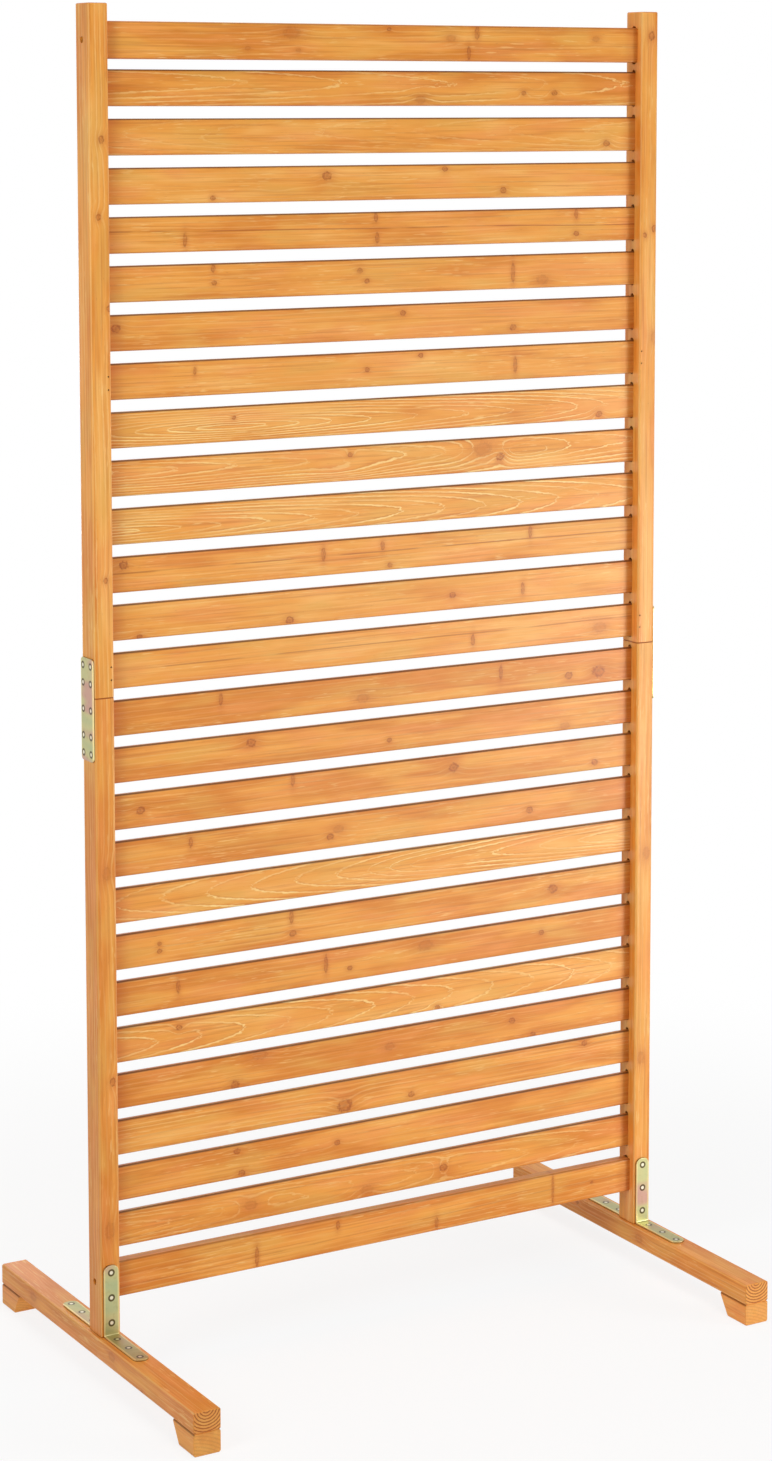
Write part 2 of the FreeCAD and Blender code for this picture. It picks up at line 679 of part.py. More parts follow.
def corner_bracket(label, side, end, turn):
    """The bracket's own origin is the corner between post and bar; its legs run up and to -Y."""
    body = new_body(label)
    sketch = new_sketch(body, "YZ_Plane")
    draw_polygon(sketch, [
        ("0", "0"),
        ("0", "dims.bracket_leg"),
        ("-dims.metal_thickness", "dims.bracket_leg"),
        ("-dims.metal_thickness", "dims.metal_thickness"),
        ("-dims.bracket_leg", "dims.metal_thickness"),
        ("-dims.bracket_leg", "0"),
    ])
    blank = extrude(body, sketch, "dims.bracket_width", symmetric=True)
    thick = value_of("dims.metal_thickness")
    leg = value_of("dims.bracket_leg")
    outer = round_edges(
        body, blank, "layout.bracket_outer_bend",
        lambda edge: lies_at(edge, 1, 0) and lies_at(edge, 2, 0))
    inner = round_edges(
        body, outer, "dims.bracket_bend_radius",
        lambda edge: lies_at(edge, 1, -thick) and lies_at(edge, 2, thick))
    ends = round_edges(
        body, inner, "layout.bracket_end_round",
        lambda edge: (runs_along(edge, 1) and lies_at(edge, 2, leg)
                      or runs_along(edge, 2) and lies_at(edge, 1, -leg)))
    round_edges(
        body, ends, "dims.metal_edge_radius",
        lambda edge: lies_at(edge, 1, -thick) or lies_at(edge, 2, thick))
    sketch = new_sketch(body, "XZ_Plane", "dims.metal_thickness")
    draw_circles(sketch, [("0", level) for level in BRACKET_HOLES], "layout.screw_hole")
    sink_holes(body, sketch)
    sketch = new_sketch(body, "XY_Plane", "dims.metal_thickness")
    draw_circles(sketch, [("0", "-" + distance) for distance in BRACKET_HOLES],
                 "layout.screw_hole")
    sink_holes(body, sketch)
    place(body, side + "layout.post_centre", end + "dims.post_depth / 2", "layout.bar_top", turn)


# ---- fasteners
# Each is drawn once, with its axis on Z, its head's top at zero and its tip below, and the groups
# are links to it.

def round_bar(name, base, height, lower, upper):
    """A cylinder or cone between two heights, with radii given as formulas."""
    solid = doc.addObject("Part::Cylinder" if lower == upper else "Part::Cone", name)
    if lower == upper:
        bind(solid, "Radius", lower)
    else:
        bind(solid, "Radius1", lower)
        bind(solid, "Radius2", upper)
    bind(solid, "Height", height)
    bind(solid, "Placement.Base.z", base)
    return solid


def fastener(name, head, shank_radius, length, tip, recess):
    """Head, shank and pointed tip in one, with a cross recess if it is a screw."""
    shank = round_bar(name + "_shank", "-(%s - %s)" % (length, tip), "%s - %s" % (length, tip),
                      shank_radius, shank_radius)
    cone = round_bar(name + "_tip", "-(%s)" % length, tip, "dims.tip_end_radius", shank_radius)
    whole = doc.addObject("Part::MultiFuse", name + "_whole")
    whole.Shapes = [head, shank, cone]
    if not recess:
        return whole
    arms = []
    for index, (long_side, short_side) in enumerate((("Length", "Width"), ("Width", "Length"))):
        arm = doc.addObject("Part::Box", "%s_arm_%d" % (name, index))
        bind(arm, long_side, "dims.recess_length")
        bind(arm, short_side, "dims.recess_width")
        bind(arm, "Height", "2 * dims.recess_depth")
        bind(arm, "Placement.Base.x", "-.Length / 2")
        bind(arm, "Placement.Base.y", "-.Width / 2")
        bind(arm, "Placement.Base.z", "%s - dims.recess_depth" % recess)
        arms.append(arm)
    cross = doc.addObject("Part::MultiFuse", name + "_cross")
    cross.Shapes = arms
    screw = doc.addObject("Part::Cut", name)
    screw.Base = whole
    screw.Tool = cross
    return screw


def countersunk_screw():
    head = round_bar("short_head", "-layout.screw_head_height", "layout.screw_head_height",
                     "dims.screw_shank / 2", "dims.screw_head / 2")
    return fastener("short_screw", head, "dims.screw_shank / 2", "dims.screw_length",
                    "dims.screw_tip", recess="0")


def flat_seated_screw(name, length):
    """Its head stands above zero, where its seat is."""
    head = round_bar(name + "_head", "0", "dims.long_head_height", "dims.long_head / 2",
                     "dims.long_head / 2")
    return fastener(name, head, "dims.long_shank / 2", length, "dims.long_tip",
                    recess="dims.long_head_height")


def brad():
    head = round_bar("brad_head", "-dims.brad_head_height", "dims.brad_head_height",
                     "dims.brad_head / 2", "dims.brad_head / 2")
    return fastener("brad", head, "dims.brad_shank / 2", "dims.brad_length", "dims.brad_tip",
                    recess=None)


def pointing(x, y, z):
    """The turn that sends a fastener's tip along a direction."""
    return FreeCAD.Rotation(FreeCAD.Vector(0, 0, -1), FreeCAD.Vector(x, y, z))


def fastener_group(label, master, spots):
    """Links to one fastener at (x, y, z, turn), kept together as one sub-part."""
    links = []
    for x, y, z, turn in spots:
        link = doc.addObject("App::Link", "fastener")
        link.LinkedObject = master
        place(link, x, y, z, turn)
        links.append(link)
    group = doc.addObject("Part::Compound", label)
    group.Links = links
    keep(group, label)


def plate_screws(label, master, side, inward):
    face = side + "(dims.screen_width / 2 + dims.metal_thickness)"
    spots = [(face, column, "layout.plate_centre + (%s)" % level, inward)
             for column, level in PLATE_HOLES]
    fastener_group(label, master, spots)


def bracket_screws(label, master, side, end, inward):
    across = side + "layout.post_centre"
    face = end + "(dims.post_depth / 2 + dims.metal_thickness)"
    spots = [(across, face, "layout.bar_top + %s" % level, inward) for level in BRACKET_HOLES]
    top = "layout.bar_top + dims.metal_thickness"
    for distance in BRACKET_HOLES:
        along = "%s(dims.post_depth / 2 + %s)" % (end, distance)
        spots.append((across, along, top, NO_TURN))
    fastener_group(label, master, spots)


def rail_screws(label, master, level):
    fastener_group(label, master, [
        ("-layout.rail_screw_seat", "0", level, pointing(1, 0, 0)),
        ("layout.rail_screw_seat", "0", level, pointing(-1, 0, 0)),
    ])


def pad_screws(label, master, side):
    spots = []
    for end in ("-", "+"):
        for distance in PAD_SCREWS:
            along = "%s(dims.foot_length / 2 - %s)" % (end, distance)
            spots.append((side + "layout.post_centre", along, "dims.pad_counterbore_depth",
                          pointing(0, 0, 1)))
    fastener_group(label, master, spots)


def slat_brads(label, master, section, base, face, inward):
    spots = []
    for number in pinned_slats(section):
        for side in ("-", "+"):
            for rise in ("-", "+"):
                level = "%s + %s + dims.slat_height / 2 %s dims.brad_spacing / 2" % (
                    base, slat_bottom(section, number), rise)
                spots.append((side + "layout.brad_line", face + "layout.brad_level", level,
                              inward))
    fastener_group(label, master, spots)


# ---- the whole screen

rail("top_rail", "layout.joint_level + layout.upper_rail_centre")
rail("bottom_rail", "layout.bar_top + layout.lower_rail_centre")
slats("upper", "layout.joint_level")
slats("lower", "layout.bar_top")

short_screw = countersunk_screw()
rail_screw = flat_seated_screw("rail_screw", "dims.rail_screw_length")
pad_screw = flat_seated_screw("pad_screw", "dims.pad_screw_length")
slat_brad = brad()

for name, side, post_turn, plate_turn, inward in (
    ("left", "-", NO_TURN, HALF_TURN, pointing(1, 0, 0)),
    ("right", "+", HALF_TURN, NO_TURN, pointing(-1, 0, 0)),
):
    upper_post(name + "_upper_post", side, post_turn)
    lower_post(name + "_lower_post", side, post_turn)
    mending_plate(name + "_mending_plate", side, plate_turn)
    plate_screws(name + "_plate_screws", short_screw, side, inward)
    foot_bar(name + "_foot_bar", side)
    pad_screws(name + "_pad_screws", pad_screw, side)
    for place_name, end, turn, drive in (
        ("front", "-", NO_TURN, pointing(0, 1, 0)),
        ("rear", "+", HALF_TURN, pointing(0, -1, 0)),
    ):
        corner = "%s_%s" % (name, place_name)
        foot_pad(corner + "_pad", side, end, turn)
        corner_bracket(corner + "_bracket", side, end, turn)
        bracket_screws(corner + "_bracket_screws", short_screw, side, end, drive)

rail_screws("top_rail_screws", rail_screw, "layout.joint_level + layout.upper_rail_centre")
rail_screws("bottom_rail_screws", rail_screw, "layout.bar_top + layout.lower_rail_centre")
slat_brads("upper_slat_brads", slat_brad, "upper", "layout.joint_level", "-", pointing(0, 1, 0))
slat_brads("lower_slat_brads", slat_brad, "lower", "layout.bar_top", "+", pointing(0, -1, 0))

doc.recompute()


# ---- checks and export

for item in doc.Objects:
    if "Invalid" in item.State or "Error" in item.State:
        raise RuntimeError("%s (%s) failed: %s" % (item.Label, item.Name, item.State))

os.makedirs("parts", exist_ok=True)
for piece in pieces:
    if piece.Shape.isNull() or not piece.Shape.isValid():
        raise RuntimeError(piece.Label + " has no valid shape")

for piece in pieces:
    piece.Shape.exportStep(os.path.join("parts", piece.Label + ".step"))

print("%d sub-parts, %d solids" % (len(pieces), sum(len(piece.Shape.Solids) for piece in pieces)))
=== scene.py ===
import math

import bpy
from mathutils import Matrix, Vector


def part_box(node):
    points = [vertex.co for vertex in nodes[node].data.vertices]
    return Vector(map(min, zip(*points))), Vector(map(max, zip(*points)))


# The looks of a free-standing slatted garden screen: honey-stained softwood with yellow-zinc
# hardware, on a plain pale floor. Lengths are in metres, and in millimetres inside the materials.

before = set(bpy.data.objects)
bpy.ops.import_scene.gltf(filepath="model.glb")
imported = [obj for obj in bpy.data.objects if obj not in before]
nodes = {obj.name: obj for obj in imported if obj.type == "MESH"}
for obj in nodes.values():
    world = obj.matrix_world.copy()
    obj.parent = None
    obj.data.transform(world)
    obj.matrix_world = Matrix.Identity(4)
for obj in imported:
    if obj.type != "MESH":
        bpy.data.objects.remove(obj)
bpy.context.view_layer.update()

MM = 1000.0
X, Y, Z = 0, 1, 2
WHITE = (1.0, 1.0, 1.0, 1.0)

# The patterns in the materials: the size of their patches in millimetres, which in wood runs along
# the grain, across it and out of the face, and how many finer layers they carry.
PATTERNS = {
    "ring_waver": ((300, 70, 70), 1.0),
    "ring_ripple": ((70, 16, 16), 2.0),
    "ring_jag": ((11, 2.6, 2.6), 2.0),
    "line_patches": ((110, 30, 30), 2.0),
    "clouds": ((170, 26, 26), 3.0),
    "hue": ((120, 30, 30), 2.0),
    "streaks": ((150, 3.2, 3.2), 2.0),
    "fibre": ((60, 1.0, 1.0), 2.0),
    "flecks": ((26, 1.8, 1.8), 1.0),
    "fleck_patches": ((120, 22, 22), 1.0),
    "pores": ((9, 0.7, 0.7), 1.0),
    "seam_waver": ((160, 900, 900), 1.0),
    "seam_breaks": ((90, 900, 900), 2.0),
    "knot_rag": ((3.0, 3.0, 9), 2.0),
    "knot_patches": ((4, 4, 9), 2.0),
    "zinc_drift": ((70, 70, 30), 1.0),
    "zinc_stains": ((6, 6, 6), 3.0),
    "zinc_grain": ((0.8, 0.8, 0.8), 2.0),
    "steel_specks": ((0.5, 0.5, 0.5), 2.0),
}
NOISE_SPREAD = 3.0  # noise seldom strays further than a third from its middle


def srgb(red, green, blue):
    """A colour given as it looks on screen, 0 to 255, as linear values."""
    def linear(level):
        share = level / 255
        return share / 12.92 if share <= 0.04045 else ((share + 0.055) / 1.055) ** 2.4
    return (linear(red), linear(green), linear(blue), 1.0)


# ---- building node trees

class Graph:
    """Short ways to add nodes to one tree. An input takes a socket or a plain value."""

    # The Mix node's colour sockets share their names with its other kinds, so they go by number.
    MIX_SHARE, MIX_UNDER, MIX_OVER, MIX_RESULT = 0, 6, 7, 2

    def __init__(self, tree):
        self.tree = tree

    def put(self, source, socket):
        """Puts another node's output or a plain value into an input."""
        if isinstance(source, bpy.types.NodeSocket):
            self.tree.links.new(source, socket)
        else:
            socket.default_value = source

    def node(self, kind, inputs=(), **settings):
        made = self.tree.nodes.new("ShaderNode" + kind)
        for name, value in settings.items():
            setattr(made, name, value)
        for key, source in dict(inputs).items():
            self.put(source, made.inputs[key])
        return made

    def math(self, operation, *values):
        return self.node("Math", enumerate(values), operation=operation).outputs[0]

    def add(self, first, second):
        return self.math("ADD", first, second)

    def subtract(self, first, second):
        return self.math("SUBTRACT", first, second)

    def multiply(self, first, *others):
        for other in others:
            first = self.math("MULTIPLY", first, other)
        return first

    def divide(self, first, second):
        return self.math("DIVIDE", first, second)

    def absolute(self, value):
        return self.math("ABSOLUTE", value)

    def least(self, first, second):
        return self.math("MINIMUM", first, second)

    def most(self, first, second):
        return self.math("MAXIMUM", first, second)

    def hypotenuse(self, first, second):
        return self.math("SQRT", self.add(self.multiply(first, first),
                                          self.multiply(second, second)))

    def bell(self, distance, fade):
        """One at no distance, which fades with the distance squared."""
        return self.math("EXPONENT", self.multiply(distance, distance, -fade))

    def vector(self, operation, *values):
        made = self.node("VectorMath", enumerate(values), operation=operation)
        return made.outputs["Value" if operation in ("LENGTH", "DOT_PRODUCT") else "Vector"]

    def combine(self, x=0.0, y=0.0, z=0.0):
        return self.node("CombineXYZ", {"X": x, "Y": y, "Z": z}).outputs[0]

    def split(self, vector):
        return self.node("SeparateXYZ", {"Vector": vector}).outputs

    def position(self):
        """The place on a piece in metres. Each piece's origin is the frame's."""
        return self.node("TexCoord").outputs["Object"]

    def normal(self):
        return self.node("NewGeometry").outputs["Normal"]

    def noise(self, place, pattern):
        """Noise from 0 to 1 in one of the patterns, at a place in millimetres."""
        size, detail = PATTERNS[pattern]
        scaled = self.vector("MULTIPLY", place, tuple(1 / length for length in size))
        made = self.node("TexNoise", {"Vector": scaled, "Scale": 1.0, "Detail": detail})
        return made.outputs["Fac"]

    def wobble(self, place, pattern, height):
        """Noise about zero that reaches roughly a height to each side."""
        centred = self.subtract(self.noise(place, pattern), 0.5)
        return self.multiply(centred, NOISE_SPREAD * height)

    def step(self, value, low, high, start=0.0, end=1.0):
        """A smooth step from start to end as a value goes from low to high."""
        return self.node("MapRange", {"Value": value, "From Min": low, "From Max": high,
                                      "To Min": start, "To Max": end},
                         interpolation_type="SMOOTHSTEP").outputs["Result"]

    def fall(self, value, low, high, start=1.0):
        """A smooth step down to nought as a value goes from low to high."""
        return self.step(value, low, high, start, 0.0)

    def mix(self, share, under, over, how="MIX"):
        inputs = {self.MIX_SHARE: share, self.MIX_UNDER: under, self.MIX_OVER: over}
        made = self.node("Mix", inputs, data_type="RGBA", blend_type=how)
        return made.outputs[self.MIX_RESULT]

    def tint(self, color, over, amount, strength):
        """Lays a colour over another, by an amount times a strength."""
        return self.mix(self.multiply(amount, strength), color, over)


def new_group(name, inputs, outputs):
    """An empty group with its sockets. Returns its graph and its input and output sockets."""
    tree = bpy.data.node_groups.new(name, "ShaderNodeTree")
    for side, sockets in (("INPUT", inputs), ("OUTPUT", outputs)):
        for label, kind in sockets:
            tree.interface.new_socket(label, in_out=side, socket_type="NodeSocket" + kind)
    graph = Graph(tree)
    return graph, tree.nodes.new("NodeGroupInput").outputs, tree.nodes.new("NodeGroupOutput").inputs


def fresh_graph(owner):
    """An empty node tree in a material or a world."""
    owner.use_nodes = True
    owner.node_tree.nodes.clear()
    return Graph(owner.node_tree)


def new_material(name):
    """A material with one shader. Returns it with its graph and that shader."""
    material = bpy.data.materials.new(name)
    graph = fresh_graph(material)
    shader = graph.node("BsdfPrincipled")
    output = graph.node("OutputMaterial", {"Surface": shader.outputs[0]})
    output.is_active_output = True
    return material, graph, shader


def coat(graph, shader, color, roughness, height, relief):
    """Gives a shader its finish. A relief is a bump's strength and its depth in metres."""
    strength, depth = relief
    bump = graph.node("Bump", {"Height": height, "Strength": strength, "Distance": depth})
    graph.put(color, shader.inputs["Base Color"])
    graph.put(roughness, shader.inputs["Roughness"])
    graph.put(bump.outputs["Normal"], shader.inputs["Normal"])


# ---- wood
# Places on a board are millimetres from its centre: X along the grain, Y across the board's face,
# and Z out of that face, which is a slat's, rail's or post's front and a bar's or pad's right side.

PALE_LINE = srgb(255, 220, 144)
LIGHT_WOOD = srgb(247, 180, 92)
HONEY_WOOD = srgb(240, 161, 66)
RUSSET_WOOD = srgb(222, 134, 42)
OLIVE_WOOD = srgb(230, 169, 76)
SALMON_WOOD = srgb(242, 152, 78)
DEEP_WOOD = srgb(198, 106, 32)
KNOT_WOOD = srgb(156, 66, 6)
KNOT_HEART = srgb(112, 42, 2)
# dark brown: painted shade on the upper sides and lower edges of boards, and the tarnish specks on
# steel
EDGE_SHADE_AND_TARNISH = srgb(96, 52, 18)
END_GRAIN = srgb(230, 170, 92)
# painted shade beside the posts, multiplied over the wood
POST_SHADE_TINT = srgb(202, 166, 138)

# A ring's pale line in millimetres, and the share of a ring that it may take up.
LINE_WIDTH = 1.7
LEAST_LINE, MOST_LINE = 0.025, 0.3

# How far apart the boards lie in the patterns, and the hue from the other patterns.
SEED_SHIFT = (131, 57, 29)
HUE_SHIFT = (0, 0, 400)

KNOT_DEPTH = 60.0
# how far the painted shade beside the posts reaches in millimetres, and how strong it is
POST_SHADE_REACH, POST_SHADE_SHARE = 28.0, 0.6
WOOD_ROUGHNESS = 0.36
WOOD_SHINE = 0.32
WOOD_RELIEF = (0.25, 0.0005)


def knot_group():
    """One knot: how far it pushes the rings aside, and how much of disc, heart and halo it has."""
    graph, given, result = new_group(
        "knot",
        [("Place", "Vector"), ("Centre", "Vector"), ("Size", "Vector"), ("Push", "Float"),
         ("Marks", "Vector")],
        [("Push", "Float"), ("Marks", "Vector")])
    place = given["Place"]
    offset = graph.vector("SUBTRACT", place, given["Centre"])
    distance = graph.vector("LENGTH", graph.vector("DIVIDE", offset, given["Size"]))
    ragged = graph.add(distance, graph.wobble(place, "knot_rag", 0.3))
    rim = graph.step(ragged, 0.4, 0.85, 0.3, 1.0)
    disc = graph.multiply(graph.fall(ragged, 0.85, 1.25), rim)
    patchy = graph.step(graph.noise(place, "knot_patches"), 0.35, 0.55, 0.4, 1.0)
    heart = graph.fall(ragged, 0.1, 0.55)
    marks = graph.combine(graph.multiply(disc, patchy), heart, graph.bell(ragged, 0.3))
    graph.put(graph.multiply(graph.bell(distance, 0.16), given["Push"]), result["Push"])
    graph.put(graph.vector("MULTIPLY", marks, given["Marks"]), result["Marks"])
    return graph.tree


def board_gaps(graph, given):
    """How far a place lies from the upper and lower edge, the faces, the ends and the posts."""
    along, across, out = graph.split(given["Place"])
    half_along, half_across, half_out = graph.split(given["Half"])
    from_middle = graph.absolute(along)
    return (graph.subtract(half_across, across),
            graph.add(half_across, across),
            graph.subtract(half_out, graph.absolute(out)),
            graph.subtract(half_along, from_middle),
            graph.subtract(given["Wall"], from_middle))


def ring_place(graph, given, place):
    """The way through a ring, from -0.5 to 0.5, the ring's own chance, and its slope to the face."""
    along, across, out = graph.split(given["Place"])
    side, behind, tilt = graph.split(given["Pith"])
    depth = graph.add(graph.add(behind, out), graph.multiply(along, tilt))
    aside = graph.subtract(across, side)
    distance = graph.hypotenuse(aside, depth)
    waver = graph.multiply(graph.wobble(place, "ring_waver", 1.0), given["Waver"])
    ripple = graph.multiply(graph.wobble(place, "ring_ripple", 0.3), given["Waver"])
    jag = graph.wobble(place, "ring_jag", 0.42)
    bend = graph.add(graph.add(waver, ripple), graph.add(jag, given["Push"]))
    ring = graph.divide(graph.add(distance, bend), given["Spacing"])
    phase = graph.subtract(graph.math("FRACT", ring), 0.5)
    count = graph.combine(graph.math("FLOOR", ring), given["Seed"])
    chance = graph.node("TexWhiteNoise", {"Vector": count}, noise_dimensions="2D").outputs["Value"]
    return phase, chance, graph.hypotenuse(graph.divide(aside, distance), tilt)


def ring_lines(graph, given, place, phase, chance, slope):
    """Each ring's thin pale line, as wide on the steep parts as on the flat, and its dark side."""
    width = graph.divide(graph.multiply(slope, LINE_WIDTH), given["Spacing"])
    width = graph.least(graph.most(width, LEAST_LINE), MOST_LINE)
    off_line = graph.divide(phase, width)
    line = graph.fall(graph.absolute(off_line), 0.3, 0.75)
    shade = graph.multiply(graph.step(off_line, -2.2, -0.7), graph.fall(off_line, -0.7, 0.0))
    patchy = graph.step(graph.noise(place, "line_patches"), 0.36, 0.58, 0.35, 1.0)
    clear = graph.multiply(patchy, given["Lines"], graph.step(chance, 0.0, 1.0, 0.45, 1.0))
    return graph.multiply(line, clear), graph.multiply(shade, clear)


def dark_seam(graph, given, place):
    """A fine dark seam along the board, from its level, its strength and its slope."""
    along, across, _ = graph.split(given["Place"])
    level, strength, lean = graph.split(given["Seam"])
    middle = graph.add(graph.add(level, graph.multiply(along, lean)),
                       graph.wobble(place, "seam_waver", 1.1))
    off_seam = graph.absolute(graph.subtract(across, middle))
    broken = graph.step(graph.noise(place, "seam_breaks"), 0.4, 0.52, 0.25, 1.0)
    return graph.multiply(graph.fall(off_seam, 0.3, 1.5), broken, strength)


def plain_wood(graph, given, place, side_gap):
    """The colour without its figure: a tone that drifts and deepens at the sides, and a hue."""
    clouds = graph.noise(place, "clouds")
    tone = graph.add(given["Tone"], graph.multiply(graph.subtract(clouds, 0.5), 2.4))
    tone = graph.add(tone, graph.fall(side_gap, 2.0, 9.0, 0.22))
    color = graph.mix(graph.step(tone, 0.0, 0.5), LIGHT_WOOD, HONEY_WOOD)
    color = graph.mix(graph.step(tone, 0.5, 1.0), color, RUSSET_WOOD)
    hue = graph.noise(graph.vector("ADD", place, HUE_SHIFT), "hue")
    color = graph.mix(graph.fall(hue, 0.3, 0.5, 0.55), color, OLIVE_WOOD)
    return graph.mix(graph.step(hue, 0.5, 0.7, 0.0, 0.5), color, SALMON_WOOD)


def figured_wood(graph, color, place, fibre, line, shade, pores):
    """Streaks, fibres, ring lines, short pale flecks and pores over the plain colour."""
    streaks = graph.noise(place, "streaks")
    flecks = graph.multiply(graph.step(graph.noise(place, "flecks"), 0.62, 0.7),
                            graph.step(graph.noise(place, "fleck_patches"), 0.48, 0.6))
    color = graph.mix(graph.step(streaks, 0.48, 0.78, 0.0, 0.5), color, DEEP_WOOD)
    color = graph.mix(graph.step(fibre, 0.5, 0.85, 0.0, 0.22), color, DEEP_WOOD)
    color = graph.mix(graph.fall(fibre, 0.2, 0.45, 0.22), color, PALE_LINE)
    color = graph.tint(color, DEEP_WOOD, shade, 0.35)
    color = graph.tint(color, PALE_LINE, line, 0.8)
    color = graph.tint(color, PALE_LINE, flecks, 0.4)
    return graph.tint(color, KNOT_WOOD, pores, 0.35)


def edge_share(graph, given, top_gap, bottom_gap, face_gap):
    """How much of the edge colour shows: on the upper side, at the lower edge, on the corners. A
    dark colour on the upper side and at the lower edge is painted shade.
    """
    on_top, on_bottom, on_corners = graph.split(given["Edges"])
    # painted shade on the upper side and along its front corner
    top_side = graph.fall(top_gap, 0.4, 1.0, 0.15)
    top_corner = graph.fall(graph.most(top_gap, face_gap), 1.0, 2.8)
    top = graph.multiply(graph.most(top_side, top_corner), on_top)
    bottom = graph.multiply(graph.fall(bottom_gap, 0.5, 2.0), on_bottom)
    side_gap = graph.least(top_gap, bottom_gap)
    corner = graph.fall(graph.most(side_gap, face_gap), 0.8, 2.4)
    return graph.most(graph.most(top, bottom), graph.multiply(corner, on_corners))


def softwood_group():
    """Growth rings round a tilted pith, cut by the board's faces, with fibres, knots, wear and
    painted shade.
    """
    graph, given, result = new_group(
        "softwood",
        [("Place", "Vector"), ("Half", "Vector"), ("Facing", "Float"), ("Seed", "Float"),
         ("Pith", "Vector"), ("Spacing", "Float"), ("Lines", "Float"), ("Waver", "Float"),
         ("Tone", "Float"), ("Seam", "Vector"), ("Push", "Float"), ("Marks", "Vector"),
         ("Edge", "Color"), ("Edges", "Vector"), ("Ends", "Float"), ("Wall", "Float")],
        [("Color", "Color"), ("Roughness", "Float"), ("Height", "Float")])
    seed = given["Seed"]
    shift = graph.vector("MULTIPLY", graph.combine(seed, seed, seed), SEED_SHIFT)
    place = graph.vector("ADD", given["Place"], shift)
    top_gap, bottom_gap, face_gap, end_gap, wall_gap = board_gaps(graph, given)
    end = graph.step(given["Facing"], 0.6, 0.9)
    phase, chance, slope = ring_place(graph, given, place)
    line, shade = ring_lines(graph, given, place, phase, chance, slope)
    fibre = graph.noise(place, "fibre")
    pores = graph.step(graph.noise(place, "pores"), 0.72, 0.8)
    seam = dark_seam(graph, given, place)
    disc, heart, halo = graph.split(given["Marks"])

    color = plain_wood(graph, given, place, graph.least(top_gap, bottom_gap))
    color = figured_wood(graph, color, place, fibre, line, shade, pores)
    color = graph.tint(color, KNOT_WOOD, seam, 0.55)
    color = graph.tint(color, DEEP_WOOD, halo, 0.5)
    color = graph.tint(color, KNOT_WOOD, disc, 0.75)
    color = graph.tint(color, KNOT_HEART, heart, 0.5)

    # end grain has its own colour and shows its rings strongly
    color = graph.tint(color, END_GRAIN, end, 0.5)
    end_ring = graph.fall(graph.absolute(phase), 0.05, 0.32, 2.4)
    color = graph.mix(graph.multiply(end_ring, end, given["Lines"]), color, KNOT_WOOD)

    # painted shade or pale wear on the edges, dark stain at butt joints, and painted shade beside
    # the posts
    edge = edge_share(graph, given, top_gap, bottom_gap, face_gap)
    color = graph.mix(graph.multiply(edge, graph.subtract(1.0, end)), color, given["Edge"])
    color = graph.tint(color, KNOT_WOOD, graph.fall(end_gap, 0.5, 1.3), given["Ends"])
    # painted shade: slats and rails darken as they near the posts
    post_shade = graph.fall(wall_gap, 0.0, POST_SHADE_REACH, POST_SHADE_SHARE)
    color = graph.mix(post_shade, color, POST_SHADE_TINT, "MULTIPLY")

    rough = graph.add(graph.multiply(fibre, 0.14), graph.multiply(line, -0.06))
    rough = graph.add(rough, graph.add(graph.multiply(end, 0.2), WOOD_ROUGHNESS))
    height = graph.add(graph.multiply(fibre, 0.5), graph.multiply(line, 0.35))
    height = graph.subtract(height, graph.add(graph.multiply(seam, 0.8), pores))
    graph.put(color, result["Color"])
    graph.put(rough, result["Roughness"])
    graph.put(graph.add(height, graph.multiply(disc, 0.4)), result["Height"])
    return graph.tree


KNOT = knot_group()
SOFTWOOD = softwood_group()

# The ways a board can be cut from the log. Its pith has a level on the face, a depth behind the
# face and a tilt along the board. The rings have a spacing, a strength of line and a waver.
CUTS = {
    "arrows": {"pith": (-2, 30, 0.055), "spacing": 3.6, "lines": 1.25, "waver": 0.8},
    "arrows_back": {"pith": (2, 30, -0.055), "spacing": 3.6, "lines": 1.25, "waver": 0.8},
    "long_arrows": {"pith": (-2, 30, 0.022), "spacing": 3.6, "lines": 0.85, "waver": 0.9},
    "faint_arrows": {"pith": (2, 30, -0.025), "spacing": 3.6, "lines": 0.5, "waver": 0.9},
    "flames": {"pith": (-3, 22, 0.035), "spacing": 3.2, "lines": 1.1, "waver": 2.0},
    "faint_flames": {"pith": (-3, 22, 0.035), "spacing": 3.2, "lines": 0.55, "waver": 2.0},
    "straight": {"pith": (-52, 30, 0.015), "spacing": 5.0, "lines": 0.4, "waver": 2.0},
    "plain": {"pith": (70, 30, 0.02), "spacing": 6.5, "lines": 0.25, "waver": 3.0},
    "boxed": {"pith": (17, 2, 0.004), "spacing": 4.0, "lines": 0.35, "waver": 0.8},
    "offcut": {"pith": (-70, 25, 0.01), "spacing": 4.5, "lines": 0.08, "waver": 1.5},
}


# A knot has a centre and half sizes on the face, a push that bends the rings round it, and marks:
# how much of its disc, heart and halo shows.

def round_knot(along, across, radius, heart=0.5):
    """A branch cut straight across."""
    return {"centre": (along, across), "size": (radius * 1.25, radius), "push": radius * 1.1,
            "marks": (0.9, heart, 1.0)}


def streak_knot(along, across, height, width=3.0):
    """A branch cut lengthwise: a thin dark upright stroke."""
    return {"centre": (along, across), "size": (width, height), "push": 1.2,
            "marks": (0.75, 0.5, 1.0)}


def faint_knot(along, across, radius):
    """A branch just under the surface: only a brown cloud."""
    return {"centre": (along, across), "size": (radius * 1.6, radius), "push": radius * 0.7,
            "marks": (0.3, 0.1, 1.0)}


def pale_eye(along, across, length, height):
    """A pointed pale oval, where a ring just breaks the surface. It pulls the rings inwards."""
    return {"centre": (along, across), "size": (length / 3, height / 3), "push": -4.5,
            "marks": (0.0, 0.0, 0.0)}


def board(cut, tone, knots=(), apex=None, seam=(0, 0, 0)):
    """One board's wood. An apex is a place where a ring line turns back on itself."""
    made = dict(CUTS[cut], tone=tone, knots=knots, seam=seam)
    if apex is not None:
        along, across = apex
        _, behind, tilt = made["pith"]
        rings = int(behind / made["spacing"]) + 0.5
        made["pith"] = (across, rings * made["spacing"] - tilt * along, tilt)
    return made


